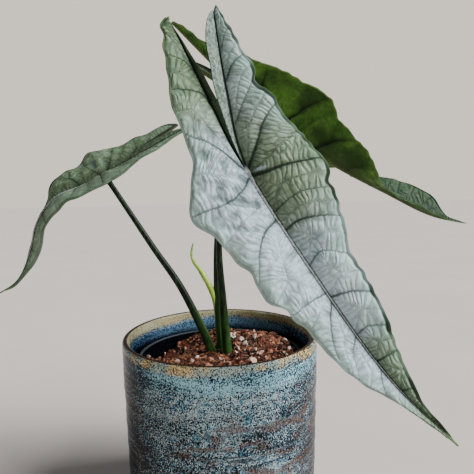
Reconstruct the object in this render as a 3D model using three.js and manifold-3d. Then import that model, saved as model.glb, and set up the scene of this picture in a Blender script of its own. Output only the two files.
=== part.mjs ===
// A potted dragon's breath alocasia: a glazed cover pot with a clear nursery pot inside it, the potting
// mix, three arrow-shaped leaves on their stems, and one new leaf that is still rolled up.
//
// Millimetres, +Z up. The origin is the middle of the pot's foot, on the surface that it stands on, and
// the plant's front faces -Y.

import * as THREE from 'three';
import { mergeVertices } from 'three/addons/utils/BufferGeometryUtils.js';
import Module from 'manifold-3d';

// Driving dimensions
const CLEARANCE = 0.3; // between neighbours that rest on each other

const POT_HEIGHT = 130;
const POT_RIM_RADIUS = 70;
const POT_FOOT_RADIUS = 65;
const POT_WALL = 5;
const POT_FLOOR = 8;
const POT_SIDES = 64;

const NURSERY_RIM_HEIGHT = 115;
const NURSERY_RIM_RADIUS = 60;
const NURSERY_RIM_OVERHANG = 1.5;
const NURSERY_FOOT_RADIUS = 46;
const NURSERY_WALL = 1.2;
const NURSERY_SIDES = 48;
const DRAIN_HOLES = 5;
const DRAIN_HOLE_RADIUS = 4;
const DRAIN_HOLE_CIRCLE = 28;

const SOIL_LEVEL = 113;
const CRUMBS = 48;
const CRUMB_RADIUS = { smallest: 1.8, largest: 4 };
const STEM_FOOT = 88.3; // the stems stand this high above the ground, in holes in the mix

const BLADE_THICKNESS = 1.0;
const KEEL_DEPTH = 1.6; // how far the ribs stand out under the blade at the stem's end

// The face of the mix: a mound at the back right, a hollow at the back left, and a fine unevenness
const MOUND = { x: 13, y: 14, height: 6.5, radius: 36 };
const HOLLOW = { x: -36, y: 20, depth: 18, radius: 20 };

// Leaves. The spine runs from between the lobe tips, over the end of the stem, to the point of the leaf,
// and faces are the directions that the upper side looks in. Along the spine, ribs are the places where
// the side veins start. The lists right and left hold the vein ends at the leaf's edge, as
// [along, across, rise], and the first and last of them are a lobe's tip and the leaf's point. A lobe that
// is shorter than the ribs has a reach below 1, and spread is how much its inner strip widens on its way out.
const FRONT_LEAF = {
  spine: [[-10, -52, 336], [4, -62, 289], [21, -70, 243], [64, -83, 174], [97, -91, 128], [131, -98, 94]],
  faces: Array(6).fill([0.28, -0.95, 0.1]),
  ribs: [-100, -94, -75, -57, -42, -20, 0, 20, 40, 62, 84, 106, 130, 150, 170, 188],
  right: [[-100, 16, 0], [-97, 18, 1], [-84, 19, 4], [-64, 25, 5], [-48, 23.5, 6], [-37, 30, 7],
    [16, 40, 11], [30, 34, 9], [48, 32, 8], [66, 25, 6], [98, 21, 6], [122, 14.5, 5], [142, 10, 3],
    [158, 4, 2], [175, 2, 1], [188, 0, 0]],
  left: [[-98, 14, 0], [-99, 17, 1], [-87, 22, 3], [-62, 26, 5], [-46, 29, 6], [-15, 29, 8], [8, 43, 10],
    [29, 36, 10], [52, 32.5, 9], [64, 32, 8], [82, 25, 7], [104, 20, 5], [120, 18, 4], [142, 9, 3],
    [161, 4, 2], [188, 0, 0]],
  lobes: { right: { reach: 1, spread: 0.25 }, left: { reach: 1, spread: -0.35 } },
  sinus: 42,
  arch: 0.45,
  ridge: 0.8,
};

const LEFT_LEAF = {
  spine: [[-25, 12, 281], [-53, 4, 263], [-78, -5, 246], [-93, -12, 238], [-108, -19, 231],
    [-119, -24, 215], [-123, -28, 197], [-131, -31, 178], [-145, -33, 168]],
  faces: [[-0.3, -0.4, 0.85], [-0.3, -0.4, 0.85], [-0.3, -0.4, 0.85], [-0.3, -0.45, 0.85],
    [-0.5, -0.5, 0.75], [-0.65, -0.6, 0.45], [-0.7, -0.6, 0.4], [-0.7, -0.5, 0.5], [-0.6, -0.4, 0.8]],
  ribs: [-66, -62, -50, -38, -28, -13, 0, 12, 25, 38, 52, 66, 80, 94, 112],
  right: [[-66, 10, 0], [-63, 12, 0], [-49, 15, 0], [-36, 19, 0], [-26, 21, 1], [-12, 25, 3], [3, 28, 5],
    [15, 27, 5], [29, 24, 1], [41, 20, -2], [54, 15, -2], [66, 12, -2], [80, 8, -3], [94, 4, -1],
    [112, 0, 0]],
  left: [[-66, 10, 0], [-64, 12, 1], [-59, 15, 3], [-50, 18, 4], [-40, 20, 5], [-20, 25, 8], [-2, 30, 11],
    [12, 28, 8], [30, 24, 4], [41, 18, -3], [54, 14, -5], [65, 10, -4], [79, 7, -2], [94, 4, -2],
    [112, 0, 0]],
  lobes: { right: { reach: 1, spread: 0.25 }, left: { reach: 1, spread: 0.25 } },
  sinus: 28,
  arch: 0.32,
  ridge: 0.6,
};

const BACK_LEAF = {
  spine: [[-35, 22, 349], [-2, 30, 324], [38, 38, 293], [88, 46, 256], [140, 54, 228], [176, 58, 210],
    [208, 60, 202]],
  faces: [[0.5, 0.6, 0.6], [0.5, 0.65, 0.6], [0.45, 0.65, 0.65], [0.42, 0.55, 0.7], [0.45, 0.2, 0.8],
    [0.5, -0.2, 0.8], [0.5, -0.25, 0.8]],
  ribs: [-94, -88, -70, -54, -40, -18, 0, 16, 36, 58, 80, 102, 124, 146, 172, 196],
  right: [[-73, 9, 0], [-71, 11, 3], [-63, 13, 9], [-53, 15, 12], [-45, 18, 15], [-24, 26, 19], [8, 33, 21],
    [26, 33, 20], [48, 31, 19], [74, 28, 18], [98, 24, 18], [120, 21, 20], [139, 18, 20], [165, 12, 12],
    [182, 5, 2], [196, 0, 0]],
  left: [[-94, 13, 0], [-90, 16, -1], [-73, 21, -4], [-58, 25, -3], [-46, 27, -1], [-26, 32, 4], [6, 38, 10],
    [26, 37, 16], [48, 30, 13], [74, 27, 10], [96, 22, 2], [110, 16, -5], [134, 14, 0], [157, 10, 3],
    [178, 4, 1], [196, 0, 0]],
  lobes: { right: { reach: 0.62, spread: 0 }, left: { reach: 1, spread: -0.35 } },
  sinus: 40,
  arch: 0.3,
  ridge: 0.6,
};

// Stems: the route from inside the mix towards the blade, and the radius along it. The route's last
// point, just under the blade, is worked out from the leaf.
const FRONT_STEM = {
  route: [[5.5, -8, STEM_FOOT], [5.8, -9, 114], [3.2, -12, 156], [1.6, -21, 195], [5, -38, 224],
    [13, -54, 238]],
  radii: [3.6, 3.3, 2.8, 2.3, 2.0, 1.9, 1.9],
  leaf: FRONT_LEAF,
};
const BACK_STEM = {
  route: [[1.5, 0, STEM_FOOT], [1.2, 0, 114], [-0.8, 0.5, 156], [-0.4, 2, 195], [3.2, 10, 232], [16, 24, 268]],
  radii: [3.6, 3.4, 3.0, 2.5, 2.1, 1.9, 1.9],
  leaf: BACK_LEAF,
};
const LEFT_STEM = {
  route: [[-1.5, -7, STEM_FOOT], [-5.5, -5, 116], [-25.3, -3.5, 161], [-46, -4, 194], [-66, -3.5, 226]],
  radii: [3.4, 3.3, 2.7, 2.3, 2.0, 1.8],
  leaf: LEFT_LEAF,
};

// The rolled leaf stands in a groove of the back stem's sheath and leans out of it to the left.
const NEW_LEAF = {
  route: [[-2.6, 0.3, 138], [-3.2, 0, 153], [-5.4, -0.3, 161], [-9.2, -0.5, 169.5], [-13.2, -0.5, 176.5],
    [-17.6, -0.5, 182.5], [-19.2, 0, 188.5], [-17.8, 0, 196.3]],
  radii: [0.9, 1.4, 2.1, 2.3, 2.0, 1.5, 1.0, 0.5],
};

// Solids

const wasm = await Module();
wasm.setup();

function solidOf(geometry) {
  const bare = geometry.clone();
  bare.deleteAttribute('normal');
  bare.deleteAttribute('uv');
  const merged = mergeVertices(bare, 1e-4);
  return new wasm.Manifold(new wasm.Mesh({
    numProp: 3,
    vertProperties: new Float32Array(merged.attributes.position.array),
    triVerts: new Uint32Array(merged.index.array),
  }));
}

function geometryOf(solid) {
  const mesh = solid.getMesh();
  const geometry = new THREE.BufferGeometry();
  geometry.setAttribute('position', new THREE.BufferAttribute(new Float32Array(mesh.vertProperties), 3));
  geometry.setIndex(new THREE.BufferAttribute(new Uint32Array(mesh.triVerts), 1));
  return geometry;
}

// Cutting a stem's hole can leave a scrap of a crumb loose
function largestPiece(solid) {
  return solid.decompose().sort((a, b) => b.volume() - a.volume())[0];
}

function geometryFromTriangles(triangles) {
  const geometry = new THREE.BufferGeometry();
  geometry.setFromPoints(triangles.flat());
  return mergeVertices(geometry, 1e-4);
}

function addTriangle(triangles, a, b, c) {
  const shortest = Math.min(a.distanceTo(b), b.distanceTo(c), c.distanceTo(a));
  if (shortest > 1e-3) triangles.push([a, b, c]);
}

function addQuad(triangles, a, b, c, d) {
  addTriangle(triangles, a, b, c);
  addTriangle(triangles, a, c, d);
}

function seededRandom(seed) {
  let state = seed;
  return () => {
    state = (state * 1664525 + 1013904223) % 4294967296;
    return state / 4294967296;
  };
}

function curveThrough(points) {
  return new THREE.CatmullRomCurve3(points.map((p) => new THREE.Vector3(...p)), false, 'catmullrom', 0.5);
}

// Cover pot: a straight, slightly tapered wall with a rounded lip and a flat foot

function coverPot() {
  const innerRadius = POT_RIM_RADIUS - POT_WALL;
  const floorFillet = 9;
  const profile = [
    [0, 0], [POT_FOOT_RADIUS, 0], [POT_FOOT_RADIUS + 2, 2.5], [POT_RIM_RADIUS - 1.2, 60],
    [POT_RIM_RADIUS, POT_HEIGHT - 14], [POT_RIM_RADIUS, POT_HEIGHT - 3],
    [POT_RIM_RADIUS - 0.8, POT_HEIGHT - 0.8], [POT_RIM_RADIUS - 2, POT_HEIGHT],
    [POT_RIM_RADIUS - 3.6, POT_HEIGHT - 1], [innerRadius, POT_HEIGHT - 6],
    [innerRadius - 1, 60], [innerRadius - 2.4, POT_FLOOR + floorFillet],
    [innerRadius - 5, POT_FLOOR + 2.6], [innerRadius - floorFillet - 2.4, POT_FLOOR], [0, POT_FLOOR],
  ];
  return turned(profile, POT_SIDES);
}

// Turns a profile round the Z axis
function turned(profile, sides) {
  const geometry = new THREE.LatheGeometry(profile.map(([r, z]) => new THREE.Vector2(r, z)), sides);
  geometry.rotateX(Math.PI / 2);
  return geometry;
}

// Nursery pot: a thin cup with a rolled rim and drain holes, standing on the cover pot's floor

function nurseryOuterRadius(z) {
  const foot = POT_FLOOR + CLEARANCE;
  const share = (z - foot) / (NURSERY_RIM_HEIGHT - foot);
  return NURSERY_FOOT_RADIUS + (NURSERY_RIM_RADIUS - NURSERY_RIM_OVERHANG - NURSERY_FOOT_RADIUS) * share;
}

function nurseryPot() {
  const foot = POT_FLOOR + CLEARANCE;
  const top = NURSERY_RIM_HEIGHT;
  const rimHeight = 5;
  const floorTop = foot + NURSERY_WALL;
  const profile = [
    [0, foot], [NURSERY_FOOT_RADIUS, foot], [nurseryOuterRadius(top - rimHeight), top - rimHeight],
    [NURSERY_RIM_RADIUS, top - rimHeight], [NURSERY_RIM_RADIUS, top - 0.6], [NURSERY_RIM_RADIUS - 0.6, top],
    [nurseryOuterRadius(top) - NURSERY_WALL, top], [nurseryOuterRadius(floorTop) - NURSERY_WALL, floorTop],
    [0, floorTop],
  ];
  let pot = solidOf(turned(profile, NURSERY_SIDES));
  for (let i = 0; i < DRAIN_HOLES; i++) {
    const angle = (i / DRAIN_HOLES) * 2 * Math.PI;
    const hole = new THREE.CylinderGeometry(DRAIN_HOLE_RADIUS, DRAIN_HOLE_RADIUS, 6, 12);
    hole.rotateX(Math.PI / 2);
    hole.translate(DRAIN_HOLE_CIRCLE * Math.cos(angle), DRAIN_HOLE_CIRCLE * Math.sin(angle), foot);
    pot = pot.subtract(solidOf(hole));
  }
  return pot;
}

// Potting mix: fills the nursery pot, with crumbs and grit standing out of its face

function soilHeight(x, y) {
  const mound = MOUND.height * Math.exp(-(((x - MOUND.x) ** 2 + (y - MOUND.y) ** 2) / MOUND.radius ** 2));
  const hollow = HOLLOW.depth * Math.exp(-(((x - HOLLOW.x) ** 2 + (y - HOLLOW.y) ** 2) / HOLLOW.radius ** 2));
  const fine = 0.9 * Math.sin(0.37 * x + 1.3) * Math.cos(0.31 * y) + 0.6 * Math.sin(0.83 * x - 0.6 * y);
  return SOIL_LEVEL + mound - hollow + fine;
}

function soilBody() {
  const bottom = POT_FLOOR + NURSERY_WALL + 2 * CLEARANCE;
  const reach = (z) => nurseryOuterRadius(z) - NURSERY_WALL - 2 * CLEARANCE;
  const rings = 9;
  const sides = 32;
  const edge = (angle) => {
    const nearly = reach(SOIL_LEVEL);
    return reach(soilHeight(nearly * Math.cos(angle), nearly * Math.sin(angle)));
  };
  const onFace = (ring, side) => {
    const angle = (side / sides) * 2 * Math.PI;
    const radius = (edge(angle) * ring) / rings;
    const x = radius * Math.cos(angle);
    const y = radius * Math.sin(angle);
    return new THREE.Vector3(x, y, soilHeight(x, y));
  };
  const atBottom = (side) => {
    const angle = (side / sides) * 2 * Math.PI;
    const radius = reach(bottom);
    return new THREE.Vector3(radius * Math.cos(angle), radius * Math.sin(angle), bottom);
  };
  const middle = new THREE.Vector3(0, 0, bottom);
  const triangles = [];
  for (let side = 0; side < sides; side++) {
    const next = (side + 1) % sides;
    addTriangle(triangles, onFace(0, 0), onFace(1, side), onFace(1, next));
    for (let ring = 1; ring < rings; ring++) {
      const [near, far] = [ring, ring + 1];
      addQuad(triangles, onFace(near, side), onFace(far, side), onFace(far, next), onFace(near, next));
    }
    addQuad(triangles, onFace(rings, side), atBottom(side), atBottom(next), onFace(rings, next));
    addTriangle(triangles, middle, atBottom(next), atBottom(side));
  }
  return geometryFromTriangles(triangles);
}

function pottingMix(stems) {
  const random = seededRandom(11);
  const spread = nurseryOuterRadius(SOIL_LEVEL) - 6;
  let mix = solidOf(soilBody());
  for (let i = 0; i < CRUMBS; i++) {
    const angle = random() * 2 * Math.PI;
    const radius = spread * Math.sqrt(random());
    const x = radius * Math.cos(angle);
    const y = radius * Math.sin(angle);
    const size = THREE.MathUtils.lerp(CRUMB_RADIUS.smallest, CRUMB_RADIUS.largest, random());
    const crumb = new THREE.OctahedronGeometry(size, 0);
    crumb.scale(1, 0.6 + 0.5 * random(), 0.7);
    crumb.rotateX(random() * 3);
    crumb.rotateZ(random() * 3);
    crumb.translate(x, y, soilHeight(x, y) + 0.25 * size);
    mix = mix.add(solidOf(crumb));
  }
  for (const stem of stems) mix = mix.subtract(solidOf(stem));
  return largestPiece(mix);
}

// Leaf blade: side veins run from the ribs to the edge, and the blade arches between them

const STEM_POINT = 2; // the spine's point over the end of the stem
const STEPS_PER_POINT = 40;

class Spine {
  constructor({ spine, faces }) {
    this.curve = curveThrough(spine);
    this.faceCurve = curveThrough(faces);
    this.last = spine.length - 1;
    this.places = [0];
    const steps = STEPS_PER_POINT * this.last;
    let before = this.curve.getPoint(0);
    for (let i = 1; i <= steps; i++) {
      const here = this.curve.getPoint(i / steps);
      this.places.push(this.places[i - 1] + here.distanceTo(before));
      before = here;
    }
    this.start = this.places[STEM_POINT * STEPS_PER_POINT];
  }

  share(along) {
    const wanted = along + this.start;
    const steps = this.places.length - 1;
    let i = this.places.findIndex((place) => place >= wanted);
    if (i < 0) i = steps;
    if (i === 0) return 0;
    const part = (wanted - this.places[i - 1]) / (this.places[i] - this.places[i - 1]);
    return Math.min(1, (i - 1 + part) / steps);
  }

  frame(along) {
    const share = this.share(along);
    const nearby = 0.02 / this.last;
    const tangent = this.curve.getPoint(Math.min(1, share + nearby))
      .sub(this.curve.getPoint(Math.max(0, share - nearby))).normalize();
    const point = this.curve.getPoint(share);
    const length = this.places[this.places.length - 1];
    const beyond = Math.max(0, along + this.start - length) + Math.min(0, along + this.start);
    point.addScaledVector(tangent, beyond);
    const up = this.faceCurve.getPoint(share);
    up.addScaledVector(tangent, -up.dot(tangent)).normalize();
    return { point, tangent, up, across: new THREE.Vector3().crossVectors(up, tangent) };
  }

  place(along, across, rise) {
    const frame = this.frame(along);
    return frame.point.clone().addScaledVector(frame.across, across).addScaledVector(frame.up, rise);
  }
}

// The rib in a lobe: it leaves the stem's end slowly and reaches the lobe's tip
function ribAcross(along, tip) {
  if (along >= 0) return 0;
  const share = along / tip[0];
  return tip[1] * share * (0.75 + 0.25 * share);
}

// Where a row of the pattern lies in a lobe, which may be shorter than the ribs
function alongLobe(along, leaf, side) {
  return along + Math.min(along + leaf.sinus, 0) * (leaf.lobes[side].reach - 1);
}

// The inner strip of a lobe lies between its rib and the cut between the lobes
function innerWidth(along, leaf, side) {
  const tip = leaf[side][0];
  if (along > -leaf.sinus) return ribAcross(along, tip);
  const share = (-along - leaf.sinus) / (-tip[0] - leaf.sinus);
  const atSinus = ribAcross(-leaf.sinus, tip);
  return Math.sqrt(Math.max(0, 1 - share ** 3)) * (atSinus + leaf.lobes[side].spread * tip[1] * share);
}

function leafRows(leaf, rowsPerVein) {
  const steps = (leaf.ribs.length - 1) * rowsPerVein;
  const ribs = curveThrough(leaf.ribs.map((along) => [along, 0, 0]));
  const sides = { right: curveThrough(leaf.right), left: curveThrough(leaf.left) };
  const rows = [];
  for (let i = 0; i <= steps; i++) {
    const along = ribs.getPoint(i / steps).x;
    rows.push({ along, right: sides.right.getPoint(i / steps), left: sides.left.getPoint(i / steps) });
  }
  return rows;
}

function leafBlade(leaf) {
  const rowsPerVein = 2;
  const outerColumns = 4;
  const innerColumns = 2;
  const spine = new Spine(leaf);
  const rows = leafRows(leaf, rowsPerVein);
  const length = rows[rows.length - 1].along;
  const top = [];
  const edges = [];

  // The upper and lower points of one place on the blade, which is thicker along the ribs
  const meanTip = [(leaf.right[0][0] + leaf.left[0][0]) / 2, (leaf.right[0][1] + leaf.left[0][1]) / 2];
  const pair = (along, across, rise) => {
    const fromRib = Math.abs(across) - ribAcross(along, meanTip);
    const keel = KEEL_DEPTH * (1 - Math.abs(along) / (1.05 * length)) * Math.exp(-((fromRib / 2) ** 2));
    return [spine.place(along, across, rise), spine.place(along, across, rise - BLADE_THICKNESS - keel)];
  };

  for (const [side, sign] of [['right', 1], ['left', -1]]) {
    const tip = leaf[side][0];
    const outer = rows.map((row, i) => {
      const start = alongLobe(row.along, leaf, side);
      const rib = ribAcross(start, tip);
      const end = i === 0 ? new THREE.Vector3(start, rib, 0) : row[side];
      const width = Math.hypot(end.x - start, end.y - rib);
      const points = [];
      for (let j = 0; j <= outerColumns; j++) {
        const u = j / outerColumns;
        const along = start + (end.x - start) * u;
        const across = rib + (end.y - rib) * u;
        const rise = end.z * u + leaf.arch * width * u * (1 - u);
        points.push(pair(along, sign * across, rise));
      }
      return points;
    });
    const inner = rows.filter((row) => row.along <= 1e-6).map((row) => {
      const along = alongLobe(row.along, leaf, side);
      const rib = ribAcross(along, tip);
      const width = innerWidth(along, leaf, side);
      const joined = along >= -leaf.sinus - 1e-6;
      const widths = [innerWidth(along, leaf, 'right'), innerWidth(along, leaf, 'left')];
      const height = joined ? (widths[0] + widths[1]) / 2 : width;
      const points = [];
      for (let j = 0; j <= innerColumns; j++) {
        const v = j / innerColumns;
        const rise = leaf.ridge * height * v * (1.25 - 0.25 * v);
        points.push(pair(along, sign * (rib - width * v), rise));
      }
      return points;
    });
    top.push({ grid: outer, flip: sign < 0 }, { grid: inner, flip: sign > 0 });
    edges.push({ line: outer.map((points) => points[outerColumns]), flip: sign < 0 });
    const cut = rows.filter((row) => row.along <= -leaf.sinus + 1e-6).length;
    edges.push({ line: inner.slice(0, cut).map((points) => points[innerColumns]), flip: sign > 0 });
  }

  const triangles = [];
  for (const { grid, flip } of top) {
    for (let i = 1; i < grid.length; i++) {
      for (let j = 1; j < grid[i].length; j++) {
        const corners = [grid[i - 1][j - 1], grid[i][j - 1], grid[i][j], grid[i - 1][j]];
        const [a, b, c, d] = corners.map((corner) => corner[0]);
        const [e, f, g, h] = corners.map((corner) => corner[1]);
        for (const [p, q, r] of [[a, b, c], [a, c, d]]) {
          if (flip) addTriangle(triangles, p, r, q);
          else addTriangle(triangles, p, q, r);
        }
        for (const [p, q, r] of [[e, f, g], [e, g, h]]) {
          if (flip) addTriangle(triangles, p, q, r);
          else addTriangle(triangles, p, r, q);
        }
      }
    }
  }
  for (const { line, flip } of edges) {
    for (let i = 1; i < line.length; i++) {
      const [a, e] = line[i - 1];
      const [b, f] = line[i];
      if (flip) addQuad(triangles, a, e, f, b);
      else addQuad(triangles, a, b, f, e);
    }
  }
  return geometryFromTriangles(triangles);
}

// Stems: round rods with a taper, built as rings along a curve

function rod(route, radii, extra = 0, sides = 10) {
  const curve = curveThrough(route);
  const steps = 3 * (route.length - 1);
  const frames = curve.computeFrenetFrames(steps, false);
  const radiusAt = (share) => {
    const place = share * (radii.length - 1);
    const i = Math.min(Math.floor(place), radii.length - 2);
    return THREE.MathUtils.lerp(radii[i], radii[i + 1], place - i) + extra;
  };
  const ring = (i, side) => {
    const angle = (side / sides) * 2 * Math.PI;
    const radius = radiusAt(i / steps);
    return curve.getPointAt(i / steps)
      .addScaledVector(frames.normals[i], radius * Math.cos(angle))
      .addScaledVector(frames.binormals[i], radius * Math.sin(angle));
  };
  const ends = [curve.getPointAt(0), curve.getPointAt(1)];
  ends[0].addScaledVector(frames.tangents[0], -extra);
  ends[1].addScaledVector(frames.tangents[steps], extra);
  const triangles = [];
  for (let side = 0; side < sides; side++) {
    const next = (side + 1) % sides;
    addTriangle(triangles, ends[0], ring(0, next), ring(0, side));
    for (let i = 0; i < steps; i++) {
      addQuad(triangles, ring(i, side), ring(i, next), ring(i + 1, next), ring(i + 1, side));
    }
    addTriangle(triangles, ends[1], ring(steps, side), ring(steps, next));
  }
  return geometryFromTriangles(triangles);
}

// The stem's route with its last point just under the blade
function wholeRoute({ route, leaf }) {
  const { point, up } = new Spine(leaf).frame(0);
  const depth = BLADE_THICKNESS + KEEL_DEPTH + CLEARANCE;
  return [...route, point.addScaledVector(up, -depth).toArray()];
}

// Materials

const glaze = new THREE.MeshStandardMaterial({ name: 'glaze', color: 0x4d6a76, roughness: 0.35 });
const clearPlastic = new THREE.MeshStandardMaterial({
  name: 'clear_plastic', color: 0x6a6c6c, roughness: 0.3,
});
const coir = new THREE.MeshStandardMaterial({ name: 'potting_mix', color: 0x6b3a24, roughness: 0.95 });
const blade = new THREE.MeshStandardMaterial({ name: 'leaf_blade', color: 0xa9b7ad, roughness: 0.4 });
const stalk = new THREE.MeshStandardMaterial({ name: 'stem', color: 0x23401d, roughness: 0.45 });
const youngLeaf = new THREE.MeshStandardMaterial({ name: 'young_leaf', color: 0xa6c94e, roughness: 0.4 });

// Assembly

const plant = new THREE.Group();

function add(name, geometry, material) {
  const mesh = new THREE.Mesh(geometry, material);
  mesh.name = name;
  plant.add(mesh);
}

const stems = { front: FRONT_STEM, back: BACK_STEM, left: LEFT_STEM };
const stemHoles = Object.values(stems).map((stem) => rod(wholeRoute(stem), stem.radii, CLEARANCE));
const groove = rod(NEW_LEAF.route, NEW_LEAF.radii, CLEARANCE, 8);

add('cover_pot', coverPot(), glaze);
add('nursery_pot', geometryOf(nurseryPot()), clearPlastic);
add('potting_mix', geometryOf(pottingMix(stemHoles)), coir);
for (const [name, stem] of Object.entries(stems)) {
  let solid = solidOf(rod(wholeRoute(stem), stem.radii));
  if (name === 'back') solid = solid.subtract(solidOf(groove));
  add(`stem_${name}`, geometryOf(solid), stalk);
}
add('new_leaf', rod(NEW_LEAF.route, NEW_LEAF.radii, 0, 8), youngLeaf);
add('leaf_front', leafBlade(FRONT_LEAF), blade);
add('leaf_left', leafBlade(LEFT_LEAF), blade);
add('leaf_back', leafBlade(BACK_LEAF), blade);

export default plant;
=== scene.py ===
# A potted dragon's breath alocasia: a glazed cover pot, a clear nursery pot with its potting mix, three
# silver arrow-shaped leaves on green stems, and one new leaf that is still rolled up.

import math

import bmesh
import bpy
import numpy as np
from mathutils import Euler, Matrix, Vector


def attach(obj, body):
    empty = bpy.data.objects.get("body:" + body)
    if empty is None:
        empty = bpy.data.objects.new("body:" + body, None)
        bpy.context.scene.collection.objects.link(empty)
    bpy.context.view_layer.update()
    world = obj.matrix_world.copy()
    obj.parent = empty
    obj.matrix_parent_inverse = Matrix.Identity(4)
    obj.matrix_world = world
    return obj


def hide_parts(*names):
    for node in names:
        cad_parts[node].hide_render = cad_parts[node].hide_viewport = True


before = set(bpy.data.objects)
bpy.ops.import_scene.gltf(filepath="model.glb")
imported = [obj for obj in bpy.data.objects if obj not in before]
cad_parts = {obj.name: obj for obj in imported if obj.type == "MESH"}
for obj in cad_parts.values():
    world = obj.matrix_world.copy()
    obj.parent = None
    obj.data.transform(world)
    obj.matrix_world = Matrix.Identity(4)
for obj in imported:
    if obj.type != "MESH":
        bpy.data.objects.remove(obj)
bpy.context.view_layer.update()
MM = 0.001


# Cover pot. A wheel-thrown stoneware cylinder with a rounded lip, dipped in a reactive glaze that broke
# into pale blue flecks over dark ground, ran thin and honey-coloured at the lip, and kept the throwing
# rings of the potter's fingers.

POT_HEIGHT = 130
POT_RIM = 70
POT_FOOT = 65
POT_WALL = 5
POT_FLOOR = 8
LIP_WIDTH, LIP_HEIGHT = 2.2, 2.4
RING_DEPTH, INNER_RING_DEPTH = 0.16, 0.1
ROUND_STEPS = 240


def rgb(red, green, blue):
    """A colour given as it looks on screen, 0 to 255, turned into linear light."""
    return tuple(
        (c / 12.92 if c <= 0.04045 else ((c + 0.055) / 1.055) ** 2.4)
        for c in (red / 255, green / 255, blue / 255)
    ) + (1.0,)


class Value:
    """A number, colour or place that changes over a surface. Arithmetic on it adds Math nodes."""

    def __init__(self, finish, socket):
        self.finish = finish
        self.socket = socket

    def __mul__(self, other):
        return self.finish.math("MULTIPLY", self, other)

    def __truediv__(self, other):
        return self.finish.math("DIVIDE", self, other)

    def __add__(self, other):
        return self.finish.math("ADD", self, other)

    def __sub__(self, other):
        return self.finish.math("SUBTRACT", self, other)

    def __rsub__(self, other):
        return self.finish.math("SUBTRACT", other, self)

    def __abs__(self):
        return self.finish.math("ABSOLUTE", self)

    def fade(self, low, high):
        """0 at low, 1 at high, smooth between."""
        ends = {"Value": self, "From Min": low, "From Max": high}
        return self.finish.value("MapRange", "Result", ends, interpolation_type="SMOOTHSTEP")


class Finish:
    """A material, a node group or the sky while its nodes are laid out."""

    def __init__(self, name, tree=None):
        if tree is None:
            self.material = bpy.data.materials.new(name)
            self.material.use_nodes = True
            tree = self.material.node_tree
        self.tree = tree

    def put(self, node, inputs):
        """Links a node's inputs to values or sets them, with colours as they look on screen."""
        for key, value in inputs.items():
            socket = node.inputs[key]
            if isinstance(value, Value):
                self.tree.links.new(value.socket, socket)
            else:
                socket.default_value = rgb(*value) if socket.type == "RGBA" else value

    def node(self, kind, inputs, **settings):
        made = self.tree.nodes.new("ShaderNode" + kind)
        for key, value in settings.items():
            setattr(made, key, value)
        self.put(made, inputs)
        return made

    def value(self, kind, output, inputs, **settings):
        return Value(self, self.node(kind, inputs, **settings).outputs[output])

    def math(self, operation, *inputs, **settings):
        return self.value("Math", 0, dict(enumerate(inputs)), operation=operation, **settings)

    def paint(self, colour, *coats):
        """Lays coats over a colour one after another, each given as its share and its colour."""
        for share, coat in coats:
            colour = self.value("Mix", 2, {0: share, 6: colour, 7: coat}, data_type="RGBA")
        return colour

    def mix(self, share, a, b):
        return self.paint(a, (share, b))

    def place(self, stretch=(1, 1, 1), shift=(0, 0, 0)):
        place = self.value("TexCoord", "Object", {})
        return self.value("Mapping", 0, {"Vector": place, "Scale": stretch, "Location": shift})

    def axis(self, name):
        """The place along one axis, in millimetres."""
        return self.value("SeparateXYZ", name, {"Vector": self.place()}) / MM

    def noise(self, scale, detail=2, rough=0.5, stretch=(1, 1, 1), shift=(0, 0, 0)):
        inputs = {"Vector": self.place(stretch, shift), "Scale": scale, "Detail": detail, "Roughness": rough}
        return self.value("TexNoise", "Fac", inputs)

    def attribute(self, name):
        return self.value("Attribute", "Fac", {}, attribute_name=name)

    def bump(self, height, strength, depth):
        """Relief of a depth in millimetres."""
        return self.value("Bump", 0, {"Height": height, "Strength": strength, "Distance": depth * MM})

    def effect(self, group, **inputs):
        """The outputs of a node group that several materials use."""
        made = self.node("Group", inputs, node_tree=group)
        return {output.name: Value(self, output) for output in made.outputs}

    def finish(self, **inputs):
        shader = self.tree.nodes["Principled BSDF"]
        self.put(shader, {key.replace("_", " "): value for key, value in inputs.items()})
        return self.material


def into_scene(name, data):
    made = bpy.data.objects.new(name, data)
    bpy.context.scene.collection.objects.link(made)
    return made


def new_piece(name, shape, *materials):
    """A piece from a bmesh, or from its corners, edges and faces."""
    mesh = bpy.data.meshes.new(name)
    if isinstance(shape, bmesh.types.BMesh):
        shape.to_mesh(mesh)
        shape.free()
    else:
        mesh.from_pydata(*shape)
    for material in materials:
        mesh.materials.append(material)
    mesh.shade_smooth()
    return into_scene(name, mesh)


def sums_of_waves(seed, count, shortest, longest):
    """A smooth random function of one, two or three coordinates, from a few waves in chosen sizes."""
    random = np.random.default_rng(seed)
    lengths = np.exp(random.uniform(np.log(shortest), np.log(longest), count))
    ways = random.normal(size=(count, 3))
    ways /= np.linalg.norm(ways, axis=1, keepdims=True)
    phases = random.uniform(0, 2 * np.pi, count)

    def waves(x, y=0.0, z=0.0):
        total = 0.0
        for length, (a, b, c), phase in zip(lengths, ways, phases):
            total = total + np.sin(2 * np.pi * (a * x + b * y + c * z) / length + phase)
        return total / np.sqrt(count / 2)

    return waves


def close_up(bm):
    """Joins the seams and poles, then turns every face outwards."""
    bmesh.ops.remove_doubles(bm, verts=bm.verts, dist=1e-6)
    bmesh.ops.recalc_face_normals(bm, faces=bm.faces)


def turned_piece(name, profile, steps, *materials):
    """Spins a profile of (radius, height) in millimetres, given from the foot outwards, round Z."""
    bm = bmesh.new()
    corners = [bm.verts.new((r * MM, 0, z * MM)) for r, z in profile]
    edges = [bm.edges.new(pair) for pair in zip(corners, corners[1:])]
    spun = {"geom": corners + edges, "cent": (0, 0, 0), "axis": (0, 0, 1), "angle": 2 * math.pi}
    bmesh.ops.spin(bm, **spun, steps=steps, use_merge=True)
    close_up(bm)
    return new_piece(name, bm, *materials)


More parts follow.
